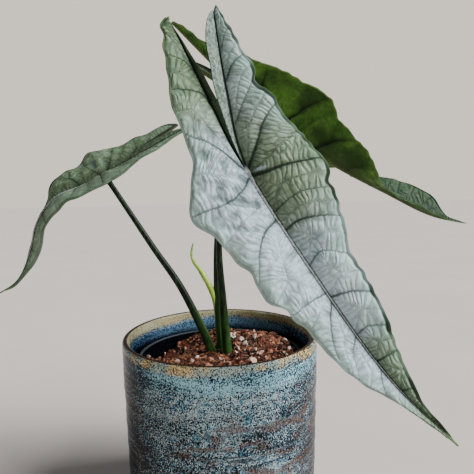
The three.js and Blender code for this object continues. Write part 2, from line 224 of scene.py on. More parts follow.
def glaze_finish():
    glaze = Finish("glaze")
    x, z = glaze.axis("X"), glaze.axis("Z")
    radius = glaze.value("VectorMath", "Value", {0: glaze.place(stretch=(1, 1, 0))}, operation="LENGTH") / MM
    drift = glaze.noise(38, 3)
    fine = glaze.noise(1450, stretch=(1, 1, 0.9))
    finer = glaze.noise(1900, rough=0.6, shift=(3, 1, 2))
    rings = glaze.noise(26, 4, 0.65, stretch=(1, 1, 9), shift=(0, 0, 5))
    blots = glaze.noise(60, 4, 0.6, stretch=(1, 1, 2.4), shift=(7, 2, 0))

    # Pale flecks over a dark ground, thicker in some rings than in others, and fewer at the left and right
    # sides as painted shade
    painted_shade_at_right = x.fade(30, 66)
    cover = rings * 0.34 + drift * 0.24 - 0.073 + x.fade(-72, -12) * 0.137 - painted_shade_at_right * 0.08
    level = fine + cover
    flecks = level.fade(0.84, 0.91)
    hue = glaze.noise(260, 3, 0.6, stretch=(1, 1, 1.6), shift=(1, 6, 4))
    ground = glaze.mix(hue.fade(0.35, 0.65), (8, 11, 14), (12, 30, 46))
    ground = glaze.mix(blots.fade(0.48, 0.6), ground, (34, 22, 20))
    fleck = glaze.mix(finer.fade(0.4, 0.6), (92, 124, 134), (206, 222, 220))
    fleck = glaze.mix(hue.fade(0.52, 0.64), fleck, (78, 138, 156))

    # Rust-brown where the glaze is thin on a throwing ring, more of it low on the right, and thin dark
    # lines in the low rings
    rusty = blots * 0.55 + rings * 0.45 + fine * 0.3 + x.fade(-20, 30) * 0.035
    rust = rusty.fade(0.69, 0.76) * z.fade(104, 88) * x.fade(-60, -20)
    lines = glaze.noise(30, 3, stretch=(1, 1, 14), shift=(4, 4, 4)).fade(0.57, 0.64)
    outside = glaze.paint(
        glaze.mix(flecks, ground, fleck),
        (rust * 0.75, glaze.mix(finer.fade(0.42, 0.6), (32, 17, 14), (118, 82, 68))),
        (lines * x.fade(-45, 0) * z.fade(100, 80) * 0.7, (14, 18, 22)),
    )

    # Bands below the lip: honey or grey-white speckle with dark pits, more pits towards the sides as painted
    # shade, then turquoise
    band_drift = glaze.noise(42, shift=(2, 9, 4))
    wavy = z + (drift - 0.5) * 8 + (fine - 0.5) * 14
    painted_shade_at_sides = abs(x).fade(20, 62) + painted_shade_at_right * 0.7
    honey = glaze.paint(
        glaze.mix(band_drift.fade(0.48, 0.6), (184, 194, 180), (252, 210, 136)),
        (finer.fade(0.5, 0.62), (100, 136, 134)),
        ((fine - painted_shade_at_sides * 0.05).fade(0.5, 0.42), (18, 22, 20)),
    )
    turquoise = glaze.mix(level.fade(0.82, 0.865), (8, 28, 46), (152, 204, 214))
    turquoise_band, honey_band = wavy.fade(110.5, 117.5), wavy.fade(123.2, 126)
    outside = glaze.paint(outside, (turquoise_band * 0.8, turquoise), (honey_band, honey))

    # The inner wall goes from cream through pale blue flecks to blue, which turns nearly black lower down as
    # painted shade
    cream = glaze.mix(band_drift.fade(0.4, 0.6), (176, 160, 116), (190, 184, 146))
    cream = glaze.mix(fine.fade(0.49, 0.41) * 0.7, cream, (60, 66, 60))
    inner = glaze.paint(
        glaze.mix(wavy.fade(112.5, 120.5), (3, 5, 8), (14, 36, 62)),
        (level.fade(0.75, 0.87) * z.fade(112.5, 121), (112, 148, 168)),
        (wavy.fade(122.5, 125.5), cream),
    )
    lip = (z + (finer - 0.5) * 0.8).fade(129.3, 129.8)
    foot = z.fade(2.4, 1.2)
    clay = glaze.mix(fine.fade(0.4, 0.6), (150, 118, 92), (120, 92, 72))
    return glaze.finish(
        Base_Color=glaze.paint(outside, (radius.fade(66.8, 66.2), inner), (lip, (58, 40, 30)), (foot, clay)),
        Roughness=flecks * 0.14 + foot * 0.5 + 0.26,
        Normal=glaze.bump(rings * 1.4 + fine * 0.6, 0.4, 0.6),
        Specular_IOR_Level=0.08,
        Coat_Weight=0.01,
    )


def pot_profile():
    """The outer wall with its throwing rings, the lip, the inner wall and the floor, foot to middle."""
    throwing = sums_of_waves(3, 9, 3.2, 17)
    outer = [(0, 0), (POT_FOOT - 4, 0), (POT_FOOT - 1, 0.2), (POT_FOOT + 0.6, 0.8), (POT_FOOT + 1.6, 1.7)]
    for z in np.arange(3.0, POT_HEIGHT - 3, 0.9):
        r = np.interp(z, [2.5, 60, 116], [POT_FOOT + 2, POT_RIM - 1.2, POT_RIM - 0.1])
        outer.append((r + RING_DEPTH * throwing(z) * np.interp(z, [2, 12, 118, 127], [0, 1, 1, 0.2]), z))
    lip = [
        (POT_RIM + LIP_WIDTH * (math.cos(angle) - 1), POT_HEIGHT + LIP_HEIGHT * (math.sin(angle) - 1))
        for angle in np.linspace(-0.2, np.pi + 0.1, 12)
    ]
    inner = []
    for z in np.arange(POT_HEIGHT - 5, POT_FLOOR + 10, -2.5):
        r = POT_RIM - POT_WALL + np.interp(z, [17, 60, 124, 127], [-2.4, -1, 0, 0.4])
        inner.append((r + INNER_RING_DEPTH * throwing(z + 40), z))
    fillet = [(60.8, 13.2), (58.4, 10.2), (55.6, 8.5), (52, POT_FLOOR), (26, POT_FLOOR), (0, POT_FLOOR)]
    return outer + lip + inner + fillet


cover_pot = turned_piece("cover_pot_glazed", pot_profile(), ROUND_STEPS, glaze_finish())
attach(cover_pot, "root")
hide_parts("cover_pot")


# Nursery pot. The thin clear plastic cup that the plant grew up in, with a rolled rim, ribs that guide the
# roots and drain holes, standing on the cover pot's floor.

CUP_RIM = 114.3


def plastic_finish():
    """Clear: the wall hardly shows, and the rolled rim shows as a thin pale line."""
    plastic = Finish("clear_plastic")
    scuffs = plastic.noise(210, 4, 0.7, shift=(5, 5, 1))
    rim = plastic.axis("Z").fade(CUP_RIM, CUP_RIM + 0.6)
    return plastic.finish(
        Base_Color=plastic.mix(rim, (24, 30, 34), (120, 126, 128)),
        Roughness=scuffs * 0.3 + 0.15,
        IOR=1.46,
        Alpha=rim * 0.35 + scuffs * 0.08,
        Normal=plastic.bump(scuffs, 0.15, 0.4),
    )


nursery_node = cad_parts["nursery_pot"]
nursery_node.data.materials.clear()
nursery_node.data.materials.append(plastic_finish())


# Potting mix. Red-brown coir crumbs and fibres with white grit, heaped round the stems and sunk at the
# back left, where the clear pot's wall shows. A lumpy bed carries loose crumbs that are half sunk in it.

SOIL_LEVEL = 113
MOUND = {"middle": (13, 14), "height": 6.5, "radius": 36}
HOLLOW = {"middle": (-36, 20), "height": -18, "radius": 20}
BED_FOOT, BED_FOOT_RADIUS, BED_TAPER = 8.3, 44.2, 12.5 / 106.7
BED_TOP_RADIUS = 56
BED_RINGS, BED_STEPS = 64, 150
CLODS = ((-29, 2), (-8, -24), (34, 22))
CLOD_REACH = 14
SCATTER_REACH = 54.5
FIBRES = 640


def bell(distance, width):
    return np.exp(-((distance / width) ** 2))


def soil_height(x, y):
    level = SOIL_LEVEL + 0.9 * np.sin(0.37 * x + 1.3) * np.cos(0.31 * y) + 0.6 * np.sin(0.83 * x - 0.6 * y)
    for swell in (MOUND, HOLLOW):
        a, b = swell["middle"]
        level = level + swell["height"] * bell(np.hypot(x - a, y - b), swell["radius"])
    return level


def bed_reach(z):
    """The radius of the mix inside the nursery pot's tapered wall, at height z."""
    return BED_FOOT_RADIUS + BED_TAPER * (z - BED_FOOT)


def move_vertices(mesh, places):
    mesh.vertices.foreach_set("co", np.ascontiguousarray(places, dtype=np.float32).ravel())
    mesh.update()


def add_fact(mesh, name, values):
    """One number a vertex, which materials read as an attribute."""
    layer = mesh.attributes.new(name, "FLOAT", "POINT")
    layer.data.foreach_set("value", np.ascontiguousarray(values, dtype=np.float32).ravel())


def start_group(name, numbers, colours=()):
    """A shader node group under construction, and its inputs."""
    tree = bpy.data.node_groups.new(name, "ShaderNodeTree")
    for labels, kind in ((numbers, "NodeSocketFloat"), (colours, "NodeSocketColor")):
        for label in labels:
            tree.interface.new_socket(name=label, in_out="INPUT", socket_type=kind)
    group = Finish(name, tree)
    return group, {socket.name: Value(group, socket) for socket in tree.nodes.new("NodeGroupInput").outputs}


def end_group(group, **outputs):
    for label, value in outputs.items():
        kind = "NodeSocketColor" if value.socket.type == "RGBA" else "NodeSocketFloat"
        group.tree.interface.new_socket(name=label, in_out="OUTPUT", socket_type=kind)
    group.put(group.tree.nodes.new("NodeGroupOutput"), outputs)
    return group.tree


def make_grain_group():
    """Grainy colour and relief for everything in the mix, from dark to light with the piece's own shade."""
    grains, given = start_group("mix_grain", ("Shade", "Scale"), ("Dark", "Light", "Red"))
    grain = grains.noise(given["Scale"], 4, 0.7)
    level = grain * 0.8 + given["Shade"] * 0.8 - 0.3
    colour = grains.mix(level.fade(0.2, 0.9), given["Dark"], given["Light"])
    colour = grains.mix(grains.noise(120, shift=(1, 2, 3)).fade(0.5, 0.7), colour, given["Red"])
    return end_group(grains, Colour=colour, Roughness=grain.fade(-1.2, 1.1), Height=grain)


def mix_finish(name, group, scale, dark, light, red):
    mix = Finish(name)
    shade = mix.attribute("shade")
    made = mix.effect(group, Shade=shade, Scale=scale, Dark=dark, Light=light, Red=red)
    return mix.finish(
        Base_Color=made["Colour"],
        Roughness=made["Roughness"],
        Normal=mix.bump(made["Height"], 0.8, 0.8),
        Specular_IOR_Level=0.2,
    )


def make_bed(finish):
    profile = [(BED_TOP_RADIUS * i / BED_RINGS, SOIL_LEVEL) for i in range(BED_RINGS + 1)]
    profile += [(54, 90), (50, 60), (46, 30), (44.4, 9.8), (20, 9.8), (0, 9.8)]
    bed = turned_piece("potting_mix_bed", profile, BED_STEPS, finish)
    x, y, z = (np.array([vertex.co for vertex in bed.data.vertices]) / MM).T
    top = z > SOIL_LEVEL - 1
    lumps = sums_of_waves(21, 22, 2.4, 9)
    crumbs = sums_of_waves(22, 26, 1.3, 3.2)
    nearly = bed_reach(SOIL_LEVEL)
    angle = np.arctan2(y, x)
    rim_level = soil_height(nearly * np.cos(angle), nearly * np.sin(angle))
    calm = np.clip((BED_TOP_RADIUS - np.hypot(x, y)) / 3, 0, 1)
    shrink = np.where(top, bed_reach(rim_level) / BED_TOP_RADIUS, 1.0)
    x, y = x * shrink, y * shrink
    rough = 0.8 * lumps(x, y) + 0.5 * np.abs(crumbs(x, y))
    z = np.where(top, soil_height(x, y) + rough * calm - 0.6, z)
    move_vertices(bed.data, np.stack([x, y, z], 1) * MM)
    add_fact(bed.data, "shade", np.clip(0.25 + 0.22 * lumps(x, y, 5.0), 0, 1))
    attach(bed, "root")
    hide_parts("potting_mix")


def corners_and_faces(bm):
    corners = np.array([vertex.co for vertex in bm.verts])
    faces = [[vertex.index for vertex in face.verts] for face in bm.faces]
    bm.free()
    return corners, faces


def loose_pieces(name, copies, faces, tones, finish):
    """Many copies of a small shape as one piece of the mix: each copy is its corners in millimetres."""
    size = len(copies[0])
    all_faces = [[corner + size * i for corner in face] for i in range(len(copies)) for face in faces]
    piece = new_piece(name, ((np.vstack(copies) * MM).tolist(), [], all_faces), finish)
    add_fact(piece.data, "shade", np.repeat(tones, size))
    piece.data.shade_flat()
    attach(piece, "root")


def scatter(name, seed, count, finish, sizes, flat, roughness, detail, likely, sunk):
    """Seeded crumbs on the mix: each one a small ball, squashed, turned and knocked out of true."""
    random = np.random.default_rng(seed)
    ball = bmesh.new()
    bmesh.ops.create_icosphere(ball, subdivisions=detail, radius=1)
    corners, faces = corners_and_faces(ball)
    balls, tones = [], []
    while len(balls) < count:
        angle = random.uniform(0, 2 * math.pi)
        radius = SCATTER_REACH * math.sqrt(random.uniform())
        x, y = radius * math.cos(angle), radius * math.sin(angle)
        keep, size, tone = random.uniform(), random.uniform(), random.uniform()
        turn = np.array(Euler(random.uniform(0, 6.3, 3)).to_matrix())
        squash = random.uniform(flat, 1.0, 3)
        if keep > likely(x, y):
            continue
        size = sizes[0] + (sizes[1] - sizes[0]) * size**2.2
        if radius + size > bed_reach(SOIL_LEVEL):
            continue
        middle = (x, y, soil_height(x, y) - 0.3 + sunk * size)
        knocked = random.normal(0, roughness * size, corners.shape)
        balls.append(middle + (size * squash * corners) @ turn.T + knocked)
        tones.append(tone)
    loose_pieces(name, balls, faces, tones, finish)


def anywhere(x, y):
    return 1.0


def more_at_right_and_front(x, y):
    return 0.28 + 0.5 / (1 + math.exp(-x / 14)) + 0.22 * (y < -20)


def in_clods(x, y):
    return float(any(math.hypot(x - a, y - b) < CLOD_REACH for a, b in CLODS))


def scatter_fibres(finish):
    """Loose coir fibres: thin four-sided splinters lying on the crumbs, every second one on a clod."""
    random = np.random.default_rng(35)
    cone = bmesh.new()
    bmesh.ops.create_cone(cone, cap_ends=True, segments=4, radius1=0.22, radius2=0.08, depth=1)
    corners, faces = corners_and_faces(cone)
    splinters, tones = [], []
    for number in range(FIBRES):
        angle, radius = random.uniform(0, 2 * math.pi), math.sqrt(random.uniform())
        (a, b), reach, lift = ((0, 0), 51, 0.9) if number % 2 else (CLODS[number // 2 % 3], CLOD_REACH, 2.4)
        x, y = a + reach * radius * math.cos(angle), b + reach * radius * math.sin(angle)
        length, tone = random.uniform(2, 6.5), random.uniform(0.4, 1.1)
        turn = np.array(Euler((math.pi / 2 + random.normal(0, 0.35), 0, random.uniform(0, 6.3))).to_matrix())
        splinters.append((x, y, soil_height(x, y) + lift) + (corners * (1, 1, length)) @ turn.T)
        tones.append(tone)
    loose_pieces("coir_fibres", splinters, faces, tones, finish)


grain = make_grain_group()
make_bed(mix_finish("mix_bed", grain, 900, (20, 11, 8), (116, 66, 46), (82, 38, 25)))
coir_crumb = mix_finish("coir_crumb", grain, 1700, (22, 12, 8), (198, 132, 98), (116, 60, 40))
coir_chunk = mix_finish("coir_chunk", grain, 1300, (46, 26, 19), (180, 124, 96), (118, 66, 46))
grit = mix_finish("white_grit", grain, 700, (212, 174, 148), (255, 238, 222), (232, 202, 180))
scatter("coir_crumbs", 31, 3000, coir_crumb, (0.45, 2.1), 0.35, 0.3, 1, anywhere, 0.3)
scatter("coir_dust", 32, 1900, coir_crumb, (0.3, 0.8), 0.4, 0.25, 1, anywhere, 1.4)
scatter("coir_chunks", 33, 26, coir_chunk, (2.6, 5.4), 0.45, 0.13, 2, in_clods, 0.35)
scatter("grit", 34, 105, grit, (0.9, 2.8), 0.4, 0.2, 1, more_at_right_and_front, 1.0)
scatter_fibres(coir_crumb)


# Leaves. Three blades of one plant, each an arrowhead with two lobes behind the stem's end. A blade is one
# thin skin hung on a curved spine: side veins run from the ribs to the edge, and between them the skin
# puffs up into small cushions. The upper side is silver with dark veins, the underside green.

STEM_POINT = 2
SPINE_STEPS = 40
BLADE = 0.9
BLADE_EDGE = 0.55
KEEL = 1.7
FINE_PITCH = 2.8
FINE_LENGTH = 11.0
FINE_FROM = 0.45
UNRELATED = 57.0
FAR, CLEAR = 99.0, 40.0
HEM_WIDTH = 2.6
VEIN_FACTS = ("near", "signed", "strength", "foot", "reach", "seam", "to_edge")


def curve_through(points, t):
    """A smooth curve through the points: t counts them, 0 at the first."""
    p = np.asarray(points, float)
    last = len(p) - 1
    t = np.clip(np.asarray(t, float), 0, last)
    i = np.minimum(np.floor(t).astype(int), last - 1)
    w = (t - i)[..., None]
    before = np.where((i > 0)[..., None], p[np.maximum(i - 1, 0)], 2 * p[0] - p[1])
    after = np.where((i + 2 <= last)[..., None], p[np.minimum(i + 2, last)], 2 * p[last] - p[last - 1])
    a, b = p[i], p[i + 1]
    out, back = 0.5 * (b - before), 0.5 * (after - a)
    return (2 * a - 2 * b + out + back) * w**3 + (3 * b - 3 * a - 2 * out - back) * w**2 + out * w + a


def measured(points):
    """Even steps of t along a curve, and how long the curve is up to each."""
    last = len(points) - 1
    t = np.linspace(0, last, SPINE_STEPS * last + 1)
    return t, np.r_[0, np.cumsum(np.linalg.norm(np.diff(curve_through(points, t), axis=0), axis=1))]


def unit(vectors):
    return vectors / np.linalg.norm(vectors, axis=-1, keepdims=True)


def heading(points, t, step):
    return unit(curve_through(points, t + step) - curve_through(points, t - step))


def share_of(value, low, high):
    """0 at low, 1 at high, straight between, and kept there beyond."""
    return np.clip((value - low) / (high - low), 0, 1)


class Leaf:
    """A blade: its spine and its facing in the plant, its flat pattern, its relief, and its silver with
    painted sheen and shade.

    ribs are the places along it that its rows follow, and right and left are its edges as (along, across,
    rise), from the lobe's tip on. What comes in pairs is for the right and the left half.
    """

    ridge, lean, fold_and_glint, relief, tip = 0.6, 0, 0, 1.0, 0

    def __init__(self, **own):
        vars(self).update(own)
        self.edges = self.right, self.left
        self.t, self.lengths = measured(self.spine)
        self.lengths -= self.lengths[SPINE_STEPS * STEM_POINT]

    def place(self, along, across, rise):
        """Carries the flat pattern into the plant: along the spine, across it, and out of its face."""
        t = np.interp(along, self.lengths, self.t)
        tangent = heading(self.spine, t, 0.02)
        beyond = along - np.clip(along, self.lengths[0], self.lengths[-1])
        point = curve_through(self.spine, t) + beyond[..., None] * tangent
        up = curve_through(self.faces, t)
        up = unit(up - (up * tangent).sum(-1, keepdims=True) * tangent)
        return point + across[..., None] * np.cross(up, tangent) + rise[..., None] * up

    def rib_across(self, along, side):
        share = np.clip(along / self.edges[side][0][0], 0, None)
        return self.edges[side][0][1] * share * (0.75 + 0.25 * share)

    def inner_width(self, along, side):
        """The strip of a lobe between its rib and the cut between the lobes."""
        tip_along, tip_across, _ = self.edges[side][0]
        share = share_of(along, -self.sinus, tip_along)
        lobe = self.rib_across(-self.sinus, side) + self.lobes[side][1] * tip_across * share
        return np.where(along > -self.sinus, self.rib_across(along, side), (1 - share**2.5) ** 0.8 * lobe)


# Side veins as they lie on the flat blade: how strong, and the (along, across) places that they pass
FRONT_VEINS = (
    [
        (1.0, [(-2, 1), (-12, 10), (-25, 19), (-33, 28)]),
        (1.5, [(2, 0), (5, 8), (8, 20), (13, 36)]),
        (0.5, [(27, 0), (25, 11), (26, 20), (31, 31)]),
        (0.9, [(39, 0), (38, 8), (42, 19), (48, 29)]),
        (0.5, [(63, 0), (59, 8), (62, 14), (69, 22)]),
        (0.3, [(71, 0), (68, 7), (64, 12)]),
        (0.9, [(83, 0), (85, 7), (88, 13), (94, 20)]),
        (0.5, [(108, 0), (107, 7), (112, 15)]),
        (0.7, [(126, 0), (126, 5), (127, 11)]),
        (0.5, [(146, 0), (148, 4), (151, 7)]),
        (0.8, [(-56, 8), (-63, 13), (-68, 22)]),
        (0.5, [(-30, 5), (-40, 12), (-50, 21)]),
        (0.5, [(-76, 11), (-82, 14), (-86, 18)]),
    ],
    [
        (0.8, [(-2, 1), (-12, 8), (-20, 15), (-28, 27)]),
        (0.9, [(2, 0), (8, 9), (11, 22), (9, 40)]),
        (0.9, [(31, 0), (34, 12), (43, 23), (57, 32)]),
        (0.3, [(15, 4), (23, 12), (26, 34)]),
        (0.4, [(50, 0), (54, 14), (61, 20), (72, 27)]),
        (0.4, [(66, 0), (64, 8), (66, 20)]),
        (0.5, [(80, 0), (78, 12), (78, 24)]),
        (0.8, [(85, 0), (94, 10), (106, 16), (117, 18)]),
        (0.5, [(108, 0), (113, 8), (124, 14)]),
        (0.5, [(130, 0), (136, 6), (142, 9)]),
        (0.8, [(-43, 6), (-50, 9), (-53, 18), (-55, 27)]),
        (0.4, [(-22, 4), (-32, 16), (-42, 28)]),
        (0.6, [(-64, 9), (-70, 13), (-74, 22)]),
    ],
)


def resized_veins(veins, along, across, strength=1):
    return [(strength * s, [(along * a, across * c) for a, c in points]) for s, points in veins]


BACK_VEINS = (
    resized_veins(FRONT_VEINS[0], 1.04, 0.9),
    [
        (0.9, [(-3, 2), (-14, 14), (-17, 21), (-21, 30)]),
        (1.0, [(14, 0), (18, 8), (22, 20), (29, 34)]),
        (1.0, [(48, 0), (53, 8), (59, 16), (67, 24)]),
        (0.4, [(30, 0), (34, 16), (41, 30)]),
        (0.6, [(80, 0), (85, 8), (93, 17)]),
        (0.5, [(104, 0), (110, 9), (118, 13)]),
        (0.4, [(126, 0), (131, 6), (138, 11)]),
        (0.7, [(-38, 6), (-46, 13), (-50, 23)]),
        (0.5, [(-62, 9), (-67, 14), (-71, 19)]),
    ],
)
LEFT_VEINS = [resized_veins(veins, 0.6, 0.7, 0.7) for veins in FRONT_VEINS]

FRONT_LEAF = Leaf(
    spine=[(-10, -52, 336), (4, -62, 289), (21, -70, 243), (64, -83, 174), (97, -91, 128), (131, -98, 94)],
    faces=[(0.28, -0.95, 0.1)] * 6,
    ribs=[-100, -94, -75, -57, -42, -20, 0, 20, 40, 62, 84, 106, 130, 150, 170, 188],
    right=[
        (-101, 14, 0), (-103, 16.5, 0.5), (-87, 19, 3.5), (-64, 25, 5), (-48, 23.5, 6), (-37, 30, 7),
        (16, 40, 11), (30, 34, 9), (48, 32, 8), (66, 25, 6), (98, 21, 6), (122, 14.5, 5), (142, 10, 3),
        (158, 4, 2), (175, 2, 1), (188, 0, 0),
    ],
    left=[
        (-98, 14, 0), (-99, 17, 1), (-87, 22, 3), (-62, 26, 5), (-46, 29, 6), (-15, 29, 8), (8, 43, 10),
        (29, 36, 10), (52, 32.5, 9), (64, 32, 8), (82, 25, 7), (104, 20, 5), (120, 18, 4), (142, 9, 3),
        (161, 4, 2), (188, 0, 0),
    ],
    lobes=((1, 0.8), (1, -0.35)),
    veins=FRONT_VEINS,
    hems=(1.0, 0.3),
    # silver: the silver along each half, raised as painted sheen and lowered as painted shade, as at the left
    # lobe's tip
    silver_and_painted_light=(
        [
            (-98, 0.85), (-45, 0.85), (-18, 0.66), (0, 0.42), (30, 0.62), (55, 0.95), (72, 1.35), (92, 1.4),
            (106, 1.1), (116, 0.7), (150, 0.4), (188, 0.2),
        ],
        [
            (-98, -0.1), (-80, 0.15), (-60, 0.35), (-20, 0.85), (20, 1.15), (120, 1.1), (150, 0.8),
            (175, 0.4), (188, 0.3),
        ],
    ),
    # strips: the silver of the strips inside the lobes' ribs, low on the left as painted shade
    strips=(0.72, -0.3),
    sinus=42, arch=0.45, ridge=0.8, lean=0.45, fold_and_glint=1, tip=1, steps=(26, 44, 12), seed=51,
)
LEFT_LEAF = Leaf(
    spine=[
        (-25, 12, 281), (-53, 4, 263), (-78, -5, 246), (-93, -12, 238), (-108, -19, 231), (-119, -24, 215),
        (-123, -28, 197), (-131, -31, 178), (-145, -33, 168),
    ],
    faces=[(-0.3, -0.4, 0.85)] * 3 + [
        (-0.3, -0.45, 0.85), (-0.5, -0.5, 0.75), (-0.65, -0.6, 0.45), (-0.7, -0.6, 0.4), (-0.7, -0.5, 0.5),
        (-0.6, -0.4, 0.8),
    ],
    ribs=[-66, -62, -50, -38, -28, -13, 0, 12, 25, 38, 52, 66, 80, 94, 112],
    right=[
        (-66, 10, 0), (-63, 12, 0), (-49, 15, 0), (-36, 19, 0), (-26, 21, 1), (-12, 25, 3), (3, 28, 5),
        (15, 27, 5), (29, 24, 1), (41, 20, -2), (54, 15, -2), (66, 12, -2), (80, 8, -3), (94, 4, -1),
        (112, 0, 0),
    ],
    left=[
        (-66, 10, 0), (-64, 12, 1), (-59, 15, 3), (-50, 18, 4), (-40, 20, 5), (-20, 25, 8), (-2, 30, 11),
        (12, 28, 8), (30, 24, 4), (41, 18, -3), (54, 14, -5), (65, 10, -4), (79, 7, -2), (94, 4, -2),
        (112, 0, 0),
    ],
    lobes=((1, 0.25), (1, 0.25)),
    veins=LEFT_VEINS,
    hems=(0.5, 1.0),
    silver_and_painted_light=([(0, 0.5)], [(-20, 0.35), (10, 0.2), (60, 0.05)]),
    strips=(0.2, -0.2),
    sinus=28, arch=0.32, relief=0.45, tip=0.8, steps=(20, 34, 10), seed=52,
)
BACK_LEAF = Leaf(
    spine=[
        (-35, 22, 349), (-2, 30, 324), (38, 38, 293), (88, 46, 256), (140, 54, 228), (176, 58, 210),
        (208, 60, 202),
    ],
    faces=[
        (0.5, 0.6, 0.6), (0.5, 0.65, 0.6), (0.45, 0.65, 0.65), (0.42, 0.55, 0.7), (0.45, 0.2, 0.8),
        (0.5, -0.2, 0.8), (0.5, -0.25, 0.8),
    ],
    ribs=[-94, -88, -70, -54, -40, -18, 0, 16, 36, 58, 80, 102, 124, 146, 172, 196],
    right=[
        (-73, 9, 0), (-71, 11, 3), (-63, 13, 9), (-53, 15, 12), (-45, 18, 15), (-24, 26, 19), (8, 33, 21),
        (26, 33, 20), (48, 31, 19), (74, 28, 18), (98, 24, 18), (120, 21, 20), (139, 18, 20), (165, 12, 12),
        (182, 5, 2), (196, 0, 0),
    ],
    left=[
        (-94, 13, 0), (-90, 16, -1), (-73, 21, -4), (-58, 25, -3), (-46, 27, -1), (-26, 32, 4), (6, 38, 10),
        (26, 37, 16), (48, 30, 13), (74, 27, 10), (96, 22, 2), (110, 16, -5), (134, 14, 0), (157, 10, 3),
        (178, 4, 1), (196, 0, 0),
    ],
    lobes=((0.62, 0), (1, -0.35)),
    veins=BACK_VEINS,
    hems=(1.0, 0.6),
    # silver and strips: low, which paints the upper side dark green, partly as painted shade
    silver_and_painted_light=([(0, -0.6)], [(0, -0.6)]),
    strips=(-0.6, -0.6),
    sinus=40, arch=0.3, steps=(24, 40, 12), seed=53,
)


def lay_of_the_veins(veins, along, across, from_rib, shift):
    """Where each place lies among the veins, in millimetres.

    near is how far off the nearest side vein is, signed the same with a sign, and strength is that vein's.
    The fine veins leave a side vein or the rib square to it, and end at a seam half way to the next one:
    foot is where the fine vein starts, reach is how far it has come, and seam is how far off its seam is.
    """
    near, strength = np.full(along.shape, FAR), np.zeros(along.shape)
    signed, after = near.copy(), near.copy()
    foot, reach = along + shift, from_rib.copy()
    for number, (power, points) in enumerate(veins):
        line = curve_through(points, np.linspace(0, len(points) - 1, 8 * len(points))).T[..., None, None]
        steps = np.diff(line, axis=1)
        length = np.hypot(*steps).sum()
        off = np.array([along, across])[:, None] - line[:, :-1]
        share = np.clip((off * steps).sum(0) / (steps**2).sum(0), 0, 1)
        off -= share * steps
        sides, distances = np.sign(steps[0] * off[1] - steps[1] * off[0]), np.hypot(*off)
        nearest = distances.argmin(0)[None]
        own, side, share = (np.take_along_axis(a, nearest, 0)[0] for a in (distances, sides, share))
        gone = (nearest[0] + share) / len(steps[0])
        nearer = own < near
        near = np.where(nearer, own, near)
        signed = np.where(nearer, side * own, signed)
        strength = np.where(nearer, power * (1 - 0.65 * gone), strength)
        if power > FINE_FROM:
            nearer = own < reach
            after = np.where(nearer, reach, np.minimum(after, own))
            foot = np.where(nearer, gone * length + UNRELATED * (number + 1 + 0.5 * side) + shift, foot)
            reach = np.where(nearer, own, reach)
    return near, signed, strength, foot, reach, (after - reach) / 2


def add_grid(bm, places, facts, flip=False):
    """Adds a sheet of faces to a bmesh, with its corners in rows and columns, in millimetres."""
    columns, rows, _ = places.shape
    grid = bmesh.new()
    bmesh.ops.create_grid(grid, x_segments=rows - 1, y_segments=columns - 1, size=0.5)
    if flip:
        bmesh.ops.reverse_faces(grid, faces=grid.faces)
    mesh = bpy.data.meshes.new("sheet")
    grid.to_mesh(mesh)
    grid.free()
    move_vertices(mesh, places.reshape(-1, 3) * MM)
    for name, values in facts.items():
        add_fact(mesh, name, values)
    bm.from_mesh(mesh)
    bpy.data.meshes.remove(mesh)


